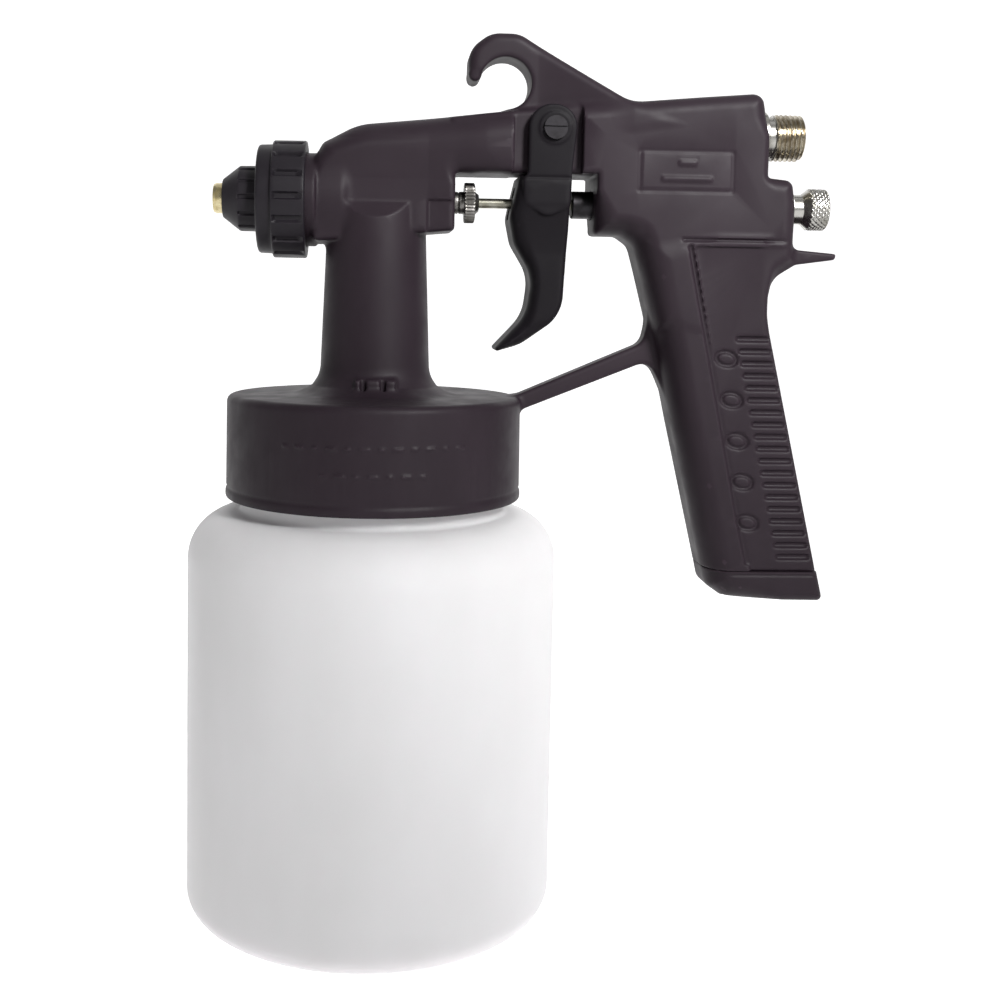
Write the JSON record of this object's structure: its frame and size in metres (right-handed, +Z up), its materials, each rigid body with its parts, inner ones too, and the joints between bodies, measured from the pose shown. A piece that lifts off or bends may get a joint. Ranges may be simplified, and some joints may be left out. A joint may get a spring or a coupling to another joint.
{
  "type": "spray gun",
  "caption": "Hand-held paint spray gun: moulded body with hanging hook, grip and trigger, screw-on milky cup, ribbed nozzle nut, threaded air inlet and paint screw.",
  "frame": {"origin": "centre of the cup's flat base", "axes": "+Z up along the cup's axis; the nozzle points to -X; +Y is the gun's far side"},
  "size_m": [0.182, 0.104, 0.2459],
  "materials": {
    "nylon": "satin, fine moulded grain",
    "nose_nylon": "satin",
    "trigger_nylon": "satin",
    "brass": "turned",
    "nickel": "bright nickel plate",
    "dark_nickel": "turned",
    "blackened": "black oxide, satin",
    "steel": "ground",
    "aluminium": "drawn",
    "hdpe": "milky translucent, satin",
    "rubber": "plain",
    "ptfe": "plain"
  },
  "bodies": {
    "cup": {"cup": "hdpe"},
    "rim_seal": {"cup_gasket": "rubber"},
    "gun": {"gun_body": "nylon", "grip": "nylon", "brace": "nylon", "cup_lid": "nylon", "grip_cap": "nylon", "fluid_nozzle": "brass", "nozzle_gasket": "ptfe", "packing_nut": "dark_nickel", "needle_packing": "ptfe", "trigger_pin": "blackened", "pin_clip": "steel", "knob_bush": "brass", "air_inlet": "nickel", "inlet_seal": "rubber", "fluid_tube": "aluminium", "tube_collar": "nylon"},
    "trigger": {"trigger": "trigger_nylon"},
    "needle_carriage": {"needle": "steel", "needle_carrier": "blackened", "needle_lock_nut": "dark_nickel"},
    "air_cap": {"air_cap": "nose_nylon"},
    "ring_nut": {"ring_nut": "nose_nylon"},
    "spring_seat": {"thrust_washer": "steel", "needle_spring": "steel"},
    "adjusting_knob": {"adjusting_knob": "nickel"}
  },
  "joints": [
    {"name": "lid_turn", "type": "hinge", "parent": "cup", "child": "rim_seal", "pos_m": [0, 0, 0.1388], "axis": [0, 0, 1], "range_deg": [0, 450]},
    {"name": "gun_lift", "type": "slide", "parent": "rim_seal", "child": "gun", "axis": [0, 0, 1], "range_m": [0, 0.14]},
    {"name": "trigger_pull", "type": "hinge", "parent": "gun", "child": "trigger", "pos_m": [0.0485, 0, 0.2184], "axis": [0, -1, 0], "range_deg": [0, 10], "stiffness_Nm_per_rad": 0.318, "springref_deg": -27.27},
    {"name": "needle_slide", "type": "slide", "parent": "gun", "child": "needle_carriage", "axis": [1, 0, 0], "range_m": [0, 0.0044], "deforming": ["needle_spring"]},
    {"name": "cap_slide", "type": "slide", "parent": "gun", "child": "air_cap", "axis": [-1, 0, 0], "range_m": [0, 0.003]},
    {"name": "ring_nut_turn", "type": "hinge", "parent": "air_cap", "child": "ring_nut", "pos_m": [-0.026, 0, 0.1983], "axis": [-1, 0, 0], "range_deg": [0, 540]},
    {"name": "washer_slide", "type": "slide", "parent": "gun", "child": "spring_seat", "axis": [1, 0, 0], "range_m": [0, 0.003]},
    {"name": "paint_screw_turn", "type": "hinge", "parent": "spring_seat", "child": "adjusting_knob", "pos_m": [0.12, 0, 0.1983], "axis": [1, 0, 0], "range_deg": [0, 1080]}
  ],
  "couplings": [
    {"joint": "needle_slide", "follows": "trigger_pull", "m_per_rad": 0.02521},
    {"joint": "ring_nut_turn", "follows": "cap_slide", "rad_per_m": 3141.6},
    {"joint": "paint_screw_turn", "follows": "washer_slide", "rad_per_m": 6283.2}
  ]
}
